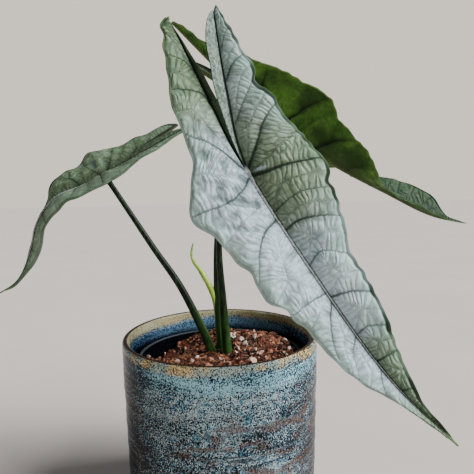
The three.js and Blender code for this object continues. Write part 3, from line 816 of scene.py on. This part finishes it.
def add_half_blade(bm, leaf, side):
    """One half of a blade: a grid of rows along the spine and columns from its middle to the edge."""
    sign = (1, -1)[side]
    rows_a_vein, outer_columns, inner_columns = leaf.steps
    seed, sinus, turned = leaf.seed, leaf.sinus, leaf.hems[side]
    last = len(leaf.ribs) - 1
    t = np.linspace(0, last, last * rows_a_vein + 1)
    along = curve_through([(rib,) for rib in leaf.ribs], t)[:, 0]
    length = along[-1]
    along += np.minimum(along + sinus, 0) * (leaf.lobes[side][0] - 1)
    end = curve_through(leaf.edges[side], t)
    rib = leaf.rib_across(along, side)
    end[:, 1] += 0.5 * share_of(end[:, 1], 0, 20) * sums_of_waves(seed + 30 + sign, 9, 6, 20)(end[:, 0])
    end[0] = (along[0], rib[0], 0)
    width = np.hypot(end[:, 0] - along, end[:, 1] - rib)
    in_lobe = along < -1e-6
    inner = np.where(in_lobe, leaf.inner_width(along, side), 0)
    both = (leaf.inner_width(along, 0) + leaf.inner_width(along, 1)) / 2
    height = np.where(in_lobe, np.where(along >= -sinus - 1e-6, both, inner), 0)
    lean = sign * leaf.lean * rib * (1 - share_of(-along, sinus, 1.5 * sinus))
    v = np.linspace(1, 0, inner_columns + 1)[:-1, None]
    u = np.linspace(0, 1, outer_columns + 1)[:, None]

    def parts(inside, outside):
        """The strip inside the rib, then the wide part outside it."""
        return np.vstack([inside + 0 * v * along, outside + 0 * u * along])

    # The bare form, as flat pattern
    flat_along = parts(along, along + (end[:, 0] - along) * (0.6 * u + 0.4 * u**2))
    flat_across = parts(rib - (inner + lean) * v, rib + (end[:, 1] - rib) * u)
    wide = share_of(width, 0, 25)
    edge_waves = sums_of_waves(seed + 3 + sign, 6, 12, 34)(end[:, 0])
    rise = parts(
        leaf.ridge * height * v * (1.25 - 0.25 * v),
        end[:, 2] * u + leaf.arch * width * u * (1 - u) + 0.9 * wide * edge_waves * u**3,
    )

    # Where each place lies among the veins
    from_rib = parts(-height * v, width * u)
    to_edge = parts(np.where(along > -sinus, CLEAR, inner * (1 - v)), width * (1 - u))
    outer, apart = parts(0, 1), parts(1 - v**3 * (along > -sinus), 1)
    shift = UNRELATED * (seed + 20 * sign)
    lay = lay_of_the_veins(leaf.veins[side], flat_along, flat_across, np.abs(from_rib), shift)
    strength = lay[2]
    strip = (CLEAR, CLEAR, 0, flat_along + shift, np.abs(from_rib), CLEAR)
    near, signed, _, foot, reach, seam = (np.where(outer > 0, a, b) for a, b in zip(lay, strip))
    hem_width = 1 + (HEM_WIDTH - 1) * turned
    inland = np.clip(to_edge / hem_width - 0.7, 0, 1)

    # Relief: broad cushions between sunk side veins, seams, puckers, one fold, slow swells, a hem that
    # turns down, and the ribs. The small cushions between fine veins are in the material.
    relief = 1.2 * (1 - bell(near, 4.4)) * outer * inland * wide * (1 - bell(from_rib, 6))
    relief -= 0.6 * strength * bell(near, 1.0) * inland * (1 - bell(from_rib, 1.2))
    relief -= 0.3 * bell(seam, 1.0) * np.clip(reach / 4 - 0.6, 0, 1) * inland
    by_stem = bell(flat_along - 4, 26) * bell(from_rib - 12, 16)
    puckers = (0.16 + (0.1 + 0.8 * by_stem) * (sign < 0)) * (1 - bell(from_rib, 3)) * inland * apart
    puckers *= sums_of_waves(seed + 15, 10, 5, 12)(flat_along, sign * flat_across)
    # A small raised fold beside the first side vein by the stem; it also adds a painted glint to the silver
    fold_and_glint = leaf.fold_and_glint * (sign > 0) * bell(signed - 2.3, 1.0) * bell(from_rib - 6, 4) * bell(flat_along - 2, 10)
    relief = leaf.relief * (relief + puckers + 0.7 * fold_and_glint)
    relief -= (0.1 + 0.8 * turned) * (np.clip(1 - to_edge / hem_width, 0, 1) * outer) ** 2 * wide
    relief -= (0.05 + 0.25 * turned) * bell(to_edge - hem_width, 0.8) * outer * wide
    swell = sums_of_waves(seed + 9, 7, 16, 34)(flat_along, sign * flat_across)
    relief += 0.6 * swell * (1 - bell(from_rib, 7)) * wide * apart
    taper = np.clip(1 - np.abs(flat_along) / (1.05 * length), 0, 1)
    ahead = share_of(flat_along, -6, 0)
    line = np.clip(taper, 0.3, 1)
    midrib = 0.55 * line * bell(from_rib, 0.35 + 0.3 * line) - 0.45 * bell(np.abs(from_rib) - 1.9, 1.0)
    relief += ahead * midrib - (1 - ahead) * 0.5 * bell(from_rib, 0.9)

    ribs = KEEL * taper * bell(from_rib, 2) + 0.5 * strength * bell(near, 0.8) * share_of(to_edge, 0, 10)
    # The silver value, with the painted sheen and shade of the tables above, and a painted glint along the
    # fold by the stem
    silver_and_painted_light = np.interp(flat_along, *zip(*leaf.silver_and_painted_light[side])) + 0.7 * fold_and_glint
    among_veins = (near, signed, strength, foot, reach, seam, to_edge * HEM_WIDTH / hem_width)
    facts = dict(zip(VEIN_FACTS, among_veins)) | {
        "from_rib": from_rib,
        "along": flat_along,
        "thick": BLADE_EDGE + (BLADE - BLADE_EDGE) * share_of(to_edge, 0, 5) + ribs,
        "tip": leaf.tip * share_of(flat_along, length - 12, length),
        "depth": leaf.relief + 0 * from_rib,
        "puckers": puckers * leaf.relief,
        "hem": turned * (0.85 + 0.15 * edge_waves.clip(-1, 1)) * (0.15 + 0.85 * outer),
        "silver_and_painted_light": np.where(outer > 0, silver_and_painted_light, leaf.strips[side]),
    }
    add_grid(bm, leaf.place(flat_along, sign * flat_across, rise + relief), facts, flip=sign < 0)


def make_leaf(name, node, leaf, *materials):
    bm = bmesh.new()
    for side in (0, 1):
        add_half_blade(bm, leaf, side)
    bmesh.ops.remove_doubles(bm, verts=bm.verts, dist=2e-5)
    piece = new_piece(name, bm, *materials)
    thick = [place.value for place in piece.data.attributes["thick"].data]
    thickest = max(thick)
    group = piece.vertex_groups.new(name="thick")
    for index, value in enumerate(thick):
        group.add([index], value / thickest, "REPLACE")
    shell = piece.modifiers.new("shell", "SOLIDIFY")
    shell.thickness = thickest * MM
    shell.offset = -1
    shell.vertex_group = "thick"
    shell.material_offset = 1
    shell.material_offset_rim = 2
    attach(piece, "root")
    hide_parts(node)


def make_vein_group():
    """Masks that both sides of a blade use: side veins, their soft surroundings, and fine veins with the
    cushions between them."""
    veins, given = start_group("leaf_veins", VEIN_FACTS)
    near, signed, strength, foot, reach, seam, to_edge = (given[name] for name in VEIN_FACTS)
    wander = veins.noise(220, 3)
    strong = strength.fade(0, 0.8)
    half = strength * 0.7 + 0.08 + (wander - 0.5) * 0.5
    line = (abs(signed) - half).fade(0.6, -0.35) * near.fade(2.2, 1.4) * strong

    # Cells as wide as a fine vein's pitch, longer the way that the fine veins run
    foot = foot + veins.noise(75, 1, shift=(3, 8, 1)) * 6 + wander * 0.9
    reach = reach + wander * 1.5
    place = veins.value("CombineXYZ", 0, {"X": foot / FINE_PITCH, "Y": reach / FINE_LENGTH})
    cells = {"Vector": place, "Scale": 1, "Randomness": 0.75}
    edges = {"voronoi_dimensions": "2D", "feature": "DISTANCE_TO_EDGE"}
    crease = veins.math("MINIMUM", veins.value("TexVoronoi", "Distance", cells, **edges) * FINE_PITCH, seam)
    inland = to_edge.fade(1.2, 3)
    shown = veins.noise(62, shift=(6, 2, 9)).fade(0.36, 0.6) * 0.6 + 0.4
    return end_group(
        veins,
        Vein=line * to_edge.fade(1.5, 5),
        Around=near.fade(4.5, 0.3) * strong,
        Net=crease.fade(0.5, 0.08) * inland * shown,
        Cushion=crease.fade(0, 1.15) * inland,
    )


def use_veins(finish, group):
    return finish.effect(group, **{name: finish.attribute(name) for name in VEIN_FACTS})


def upper_finish(group):
    """Silver with dark veins, greener towards the veins and the edge, and where the silver is thin. The
    silver value also carries painted sheen and a painted highlight where it is high, and painted shade where
    it is low.
    """
    upper = Finish("leaf_upper")
    from_rib, to_edge, along, hem, silver_and_painted_light, depth, puckers, tip = map(
        upper.attribute, ("from_rib", "to_edge", "along", "hem", "silver_and_painted_light", "depth", "puckers", "tip")
    )
    veins = use_veins(upper, group)
    mottle = upper.noise(360, 4, 0.65, shift=(4, 1, 7))
    soft = mottle.fade(0.3, 0.7)
    grainy = upper.noise(620, 3, 0.7, shift=(2, 2, 5)).fade(0.56, 0.42)
    outside = from_rib.fade(-0.5, 0.4)
    # Where the silver value is low: thin silver, and painted shade
    thin_silver_and_shade = upper.math("SUBTRACT", 1, silver_and_painted_light, use_clamp=True)
    spread = silver_and_painted_light + (upper.noise(46, 4, 0.6) - 0.5) * 2

    # Colours by the silver value: cool silver where it is high, lighter and bluer partly as painted sheen,
    # then warm and sage as it falls
    cool = upper.mix(soft, (146, 163, 163), (196, 209, 213))
    warm = upper.mix(soft, (124, 140, 112), (162, 174, 150))
    sage = upper.mix(soft, (88, 106, 70), (124, 142, 106))
    dark = upper.mix(soft, (36, 54, 30), (66, 88, 56))
    greener = upper.mix(silver_and_painted_light, (84, 112, 76), (154, 188, 166))
    colour = upper.paint(
        upper.mix(spread.fade(0, 1), sage, upper.mix(silver_and_painted_light.fade(1.0, 0.55), cool, warm)),
        # Dark green where the silver value is low, partly painted shade
        (spread.fade(0.05, -0.5), dark),
        # Painted highlight: near white where the silver value rises above 1
        (silver_and_painted_light.fade(1.0, 1.8), (226, 236, 240)),
        (to_edge.fade(22, 3) * outside * (0.5 - thin_silver_and_shade * 0.35), greener),
        (veins["Around"] * (thin_silver_and_shade * 0.4 + 0.3), (56, 74, 52)),
        # Fine veins in a darker green, with painted shade in their creases
        (veins["Net"] * outside * depth * (thin_silver_and_shade * 0.5 + 0.34), (48, 66, 48)),
        # Painted shade in the hollows of the puckers
        (puckers.fade(-0.1, -0.9) * 0.6, (76, 94, 88)),
    )

    # The strips inside the ribs, grainy and lighter along their middle, and the side veins. The edge: a
    # dark collecting vein, a green hem, and a thin pale line.
    colour = upper.paint(
        colour,
        (from_rib.fade(-1.0, -2.6) * to_edge.fade(0.4, 1.4) * 0.35, (104, 118, 100)),
        (grainy * (1 - outside) * 0.7, (50, 64, 60)),
        (veins["Vein"] * (thin_silver_and_shade * 0.35 + 0.6), (24, 40, 26)),
        (to_edge.fade(2.0, 2.4) * to_edge.fade(3.2, 2.7) * (hem * 0.5 + 0.2), (40, 58, 40)),
        (to_edge.fade(2.8, 2.2) * hem * 0.95, (8, 26, 6)),
        (to_edge.fade(0.45, 0.2) * 0.5, (110, 136, 96)),
    )

    # The ribs: painted shade beside the ribs, strongest near the stem, a thin pale raised midrib between dark
    # lines of painted shade in its grooves, and dark creases of painted shade in the lobes
    distance = abs(from_rib)
    ahead = along.fade(-5, -1)
    half = abs(along - 1).fade(7, 0) * 0.5 + along.fade(190, -10) * 0.4 + 0.14
    painted_shade_near_stem = abs(along).fade(60, 8)
    colour = upper.paint(
        colour,
        # Painted shade beside the ribs, strongest near the stem
        (distance.fade(13, 0.6) * (painted_shade_near_stem * 0.6 + 0.35) * thin_silver_and_shade, (40, 48, 28)),
        # Painted shade: dark lines in the grooves beside the midrib and in the lobes' creases
        ((distance * (1.7 - ahead * 0.7)).fade(1.7, 0.8) * 0.92, (12, 20, 13)),
        ((distance - half).fade(0.2, -0.08) * ahead, (196, 200, 194)),
        (tip, (116, 146, 84)),
    )
    cushion = veins["Cushion"] * outside * depth * (thin_silver_and_shade * 0.5 + 0.52)
    return upper.finish(
        Base_Color=colour,
        Roughness=mottle * 0.25 + thin_silver_and_shade * 0.12 + to_edge.fade(3.5, 2) * 0.4 + 0.34,
        Normal=upper.bump(mottle * 0.35 + cushion, 0.95, 0.7),
        Specular_IOR_Level=0.12,
    )


def under_finish(group):
    """Green as if lit through the blade, with darker veins and a pale keel."""
    under = Finish("leaf_under")
    from_rib, to_edge, along = map(under.attribute, ("from_rib", "to_edge", "along"))
    veins = use_veins(under, group)
    mottle = under.noise(280, 4, 0.6, shift=(4, 1, 7))
    colour = under.paint(
        under.mix(under.noise(34, 4, 0.6).fade(0.36, 0.62), (44, 74, 28), (88, 134, 48)),
        (mottle.fade(0.4, 0.7) * 0.35, (28, 54, 10)),
        (veins["Around"] * 0.6, (24, 46, 8)),
        (veins["Net"] * 0.3, (22, 48, 8)),
        (from_rib.fade(0.2, -0.6), (32, 44, 24)),
        (veins["Vein"] * 0.9, (8, 18, 4)),
        (from_rib.fade(12, 2) * along.fade(30, 80) * 0.8, (64, 78, 44)),
        (to_edge.fade(1.4, 0.6) * from_rib.fade(-0.5, 0.4), (116, 146, 72)),
        (abs(from_rib).fade(1.8, 0.7), (80, 92, 56)),
    )
    return under.finish(
        Base_Color=colour,
        Roughness=mottle * 0.2 + 0.45,
        Normal=under.bump(mottle * 0.4 + veins["Cushion"], 0.35, 0.5),
        Specular_IOR_Level=0.15,
    )


def edge_finish():
    edge = Finish("leaf_edge")
    worn = edge.noise(240, 3)
    colour = edge.mix(worn.fade(0.35, 0.65), (50, 76, 38), (96, 120, 70))
    colour = edge.mix(edge.attribute("from_rib").fade(0.2, -0.6), colour, (34, 46, 26))
    return edge.finish(Base_Color=colour, Roughness=worn * 0.2 + 0.5, Specular_IOR_Level=0.2)


vein_masks = make_vein_group()
blade_finishes = upper_finish(vein_masks), under_finish(vein_masks), edge_finish()
make_leaf("leaf_front_blade", "leaf_front", FRONT_LEAF, *blade_finishes)
make_leaf("leaf_left_blade", "leaf_left", LEFT_LEAF, *blade_finishes)
make_leaf("leaf_back_blade", "leaf_back", BACK_LEAF, *blade_finishes)


# Stems. Each leaf has one long stem, round and solid, dark green, that widens into a folded sheath near
# the mix and runs into the keel under its blade.

STEM_FOOT = 88.3
STEMS = {
    "front": {
        "route": [(5.5, -8, STEM_FOOT), (5.8, -9, 114), (3.2, -12, 156), (1.6, -21, 195), (5, -38, 224),
                  (13, -54, 238)],
        "radii": [3.6, 3.3, 2.8, 2.3, 2.0, 1.9, 1.9],
        "leaf": FRONT_LEAF,
        "sheath": (-1.9, 0.42),
    },
    "back": {
        "route": [(1.5, 0, STEM_FOOT), (1.2, 0, 114), (-0.8, 0.5, 156), (-0.4, 2, 195), (3.2, 10, 232),
                  (16, 24, 268)],
        "radii": [3.6, 3.4, 3.0, 2.5, 2.1, 1.9, 1.9],
        "leaf": BACK_LEAF,
        "sheath": (-0.9, 0.3),
    },
    "left": {
        "route": [(-1.5, -7, STEM_FOOT), (-5.5, -5, 116), (-25.3, -3.5, 161), (-46, -4, 194),
                  (-66, -3.5, 226)],
        "radii": [3.4, 3.3, 2.7, 2.3, 2.0, 1.8],
        "leaf": LEFT_LEAF,
        "sheath": (1.0, 0.4),
    },
}
STEM_SINK = -2.3
STEM_MESH = (44, 150)
SHEATH_FADE = 0.12


def tube(name, route, radii, mesh, material, **makers):
    """A rod along the route. Each maker gives a fact from the share of the length and the angle, which is 0
    at the front: shape is the radius's factor."""
    sides, rings = mesh
    t, lengths = measured(route)
    share = np.linspace(0, 1, rings)
    t = np.interp(share * lengths[-1], lengths, t)
    tangent = heading(route, t, 0.03)
    front = np.array([0.0, -1.0, 0.0])
    front = unit(front - (tangent @ front)[:, None] * tangent)
    radius = np.interp(share, np.linspace(0, 1, len(radii)), radii)
    radius[[0, -1]] *= 0.02
    radius[[1, -2]] *= 0.75
    angle = np.linspace(0, 2 * np.pi, sides + 1)[:, None]
    outwards = np.cos(angle)[..., None] * front + np.sin(angle)[..., None] * np.cross(tangent, front)
    facts = {fact: make(share, angle) for fact, make in makers.items()}
    places = curve_through(route, t) + (facts["shape"] * radius)[..., None] * outwards
    bm = bmesh.new()
    add_grid(bm, places, facts | {"share": share + 0 * angle, "angle": angle + 0 * share})
    close_up(bm)
    piece = new_piece(name, bm, material)
    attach(piece, "root")
    return piece


def make_tones_group():
    """Two tones of one plant colour in soft patches."""
    tones, given = start_group("two_tones", ["Scale"], ["First", "Second"])
    mottle = tones.noise(given["Scale"], 3)
    colour = tones.mix(mottle.fade(0.33, 0.67), given["First"], given["Second"])
    return end_group(tones, Colour=colour, Mottle=mottle)


def stem_finish(group):
    stem = Finish("stem")
    streaks = stem.noise(900, 3, 0.6, stretch=(1, 1, 0.06))
    low = stem.effect(group, Scale=180, First=(34, 62, 24), Second=(52, 88, 34))
    high = stem.effect(group, Scale=180, First=(7, 16, 6), Second=(14, 28, 11))
    colour = stem.paint(
        low["Colour"],
        (stem.attribute("share").fade(0.05, 0.45), high["Colour"]),
        (streaks.fade(0.45, 0.7) * 0.25, (80, 112, 58)),
        (stem.attribute("wing") * 0.7, (112, 144, 72)),
    )
    return stem.finish(
        Base_Color=colour,
        Roughness=low["Mottle"] * 0.25 + 0.28,
        Normal=stem.bump(streaks, 0.25, 0.3),
        Specular_IOR_Level=0.14,
    )


def sheath_edge(share, angle, sheath, width):
    """1 on the folded edge of a stem's sheath, which faces one angle and ends part of the way up."""
    at, until = sheath
    turn = (angle - at + np.pi) % (2 * np.pi) - np.pi
    return bell(turn, width) * np.clip((until - share) / SHEATH_FADE, 0, 1)


def make_stem(side, stem, material):
    def shape(share, angle):
        flutes = 0.012 * np.cos(11 * angle) + 0.03 * np.cos(2 * angle + 0.6)
        flare = 0.25 * bell(share - 1, 0.025)
        return 1 + 0.2 * sheath_edge(share, angle, stem["sheath"], 0.16) + flutes + flare

    def wing(share, angle):
        return sheath_edge(share, angle, stem["sheath"], 0.14)

    under_blade = stem["leaf"].place(np.zeros(1), np.zeros(1), np.array([STEM_SINK]))[0]
    route = stem["route"] + [tuple(under_blade)]
    piece = tube(f"stem_{side}_round", route, stem["radii"], STEM_MESH, material, shape=shape, wing=wing)
    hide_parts(f"stem_{side}")


two_tones = make_tones_group()
stem_green = stem_finish(two_tones)
for side, stem in STEMS.items():
    make_stem(side, stem, stem_green)


# New leaf. The next blade, still rolled into a thin yellow-green spear, coming out of the back stem's
# sheath and leaning to the left.

NEW_LEAF_ROUTE = [
    (-2.6, 0.3, 138), (-3.2, 0, 153), (-5.4, -0.3, 161), (-9.2, -0.5, 169.5), (-13.2, -0.5, 176.5),
    (-17.6, -0.5, 182.5), (-19.2, 0, 188.5), (-17.8, 0, 196.3),
]
NEW_LEAF_RADII = [0.9, 1.4, 2.1, 2.3, 2.0, 1.5, 1.0, 0.5]
NEW_LEAF_MESH = (36, 110)
ROLL_TWIST = 9


def rolled(share, angle):
    """The outer edge of the roll winds once round the spear."""
    return 0.9 + 0.16 * ((angle - ROLL_TWIST * share) % (2 * np.pi)) / (2 * np.pi)


def young_finish(group):
    young = Finish("young_leaf")
    share, angle = young.attribute("share"), young.attribute("angle")
    tones = young.effect(group, Scale=260, First=(150, 186, 52), Second=(184, 214, 84))
    seam = abs(young.math("SINE", (angle - share * ROLL_TWIST) * 0.5))
    return young.finish(
        Base_Color=young.paint(
            tones["Colour"],
            (share.fade(0.75, 1.0), (128, 160, 70)),
            (share.fade(0.3, 0.05), (196, 216, 132)),
            (seam.fade(0.2, 0.04), (92, 128, 36)),
        ),
        Roughness=tones["Mottle"] * 0.2 + 0.3,
        Normal=young.bump(tones["Mottle"], 0.2, 0.3),
    )


young = young_finish(two_tones)
new_leaf = tube("new_leaf_rolled", NEW_LEAF_ROUTE, NEW_LEAF_RADII, NEW_LEAF_MESH, young, shape=rolled)
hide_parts("new_leaf")


# Floor, light and camera. A pale floor, a large soft light from the right as from a window, a weak fill
# from the left, and the camera where the photograph was taken from.

FLOOR_REACH = 8
WINDOW = {"colour": (240, 246, 255), "from": (0.78, -0.2, 0.6), "energy": 7.5}
SOFT_PANEL = {"colour": (232, 242, 255), "from": (-0.9, -0.9, 0.7), "energy": 1.5}
PANEL_PLACE = (-0.9, -0.9, 0.9)
CAMERA_PLACE = (0.0139, -0.3403, 0.2332)
CAMERA_PITCH, CAMERA_ROLL = math.radians(-5.6), math.radians(-1.12)
CAMERA_LENS = 36.08


def floor_finish():
    floor = Finish("pale_floor")
    colour = floor.mix(floor.noise(6, 3).fade(0.3, 0.7), (216, 201, 187), (220, 205, 191))
    return floor.finish(Base_Color=colour, Roughness=0.9)


def add_light(name, kind, light):
    lamp = into_scene(name, bpy.data.lights.new(name, kind))
    lamp.data.energy = light["energy"]
    lamp.data.color = rgb(*light["colour"])[:3]
    lamp.rotation_euler = Vector(light["from"]).to_track_quat("Z", "Y").to_euler()
    return lamp


floor_mesh = bmesh.new()
bmesh.ops.create_grid(floor_mesh, x_segments=4, y_segments=4, size=FLOOR_REACH)
floor = new_piece("floor", floor_mesh, floor_finish())

world = bpy.data.worlds.new("studio")
world.use_nodes = True
sky = Finish("studio", world.node_tree)
seen = sky.value("LightPath", "Is Camera Ray", {})
sky_colour = sky.mix(seen, (206, 214, 226), (255, 244, 231))
sky.put(world.node_tree.nodes["Background"], {"Color": sky_colour, "Strength": seen * 0.8 + 0.22})
bpy.context.scene.world = world

window = add_light("window", "SUN", WINDOW)
window.data.angle = math.radians(44)
soft_panel = add_light("soft_panel", "AREA", SOFT_PANEL)
soft_panel.data.size = 0.8
soft_panel.location = PANEL_PLACE

camera = into_scene("camera", bpy.data.cameras.new("camera"))
camera.data.sensor_width = 36
camera.data.lens = CAMERA_LENS
camera.data.clip_start = 0.01
turn = Matrix.Rotation(math.pi / 2 + CAMERA_PITCH, 4, "X") @ Matrix.Rotation(CAMERA_ROLL, 4, "Z")
camera.matrix_world = Matrix.Translation(CAMERA_PLACE) @ turn
bpy.context.scene.camera = camera

bpy.context.view_layer.update()
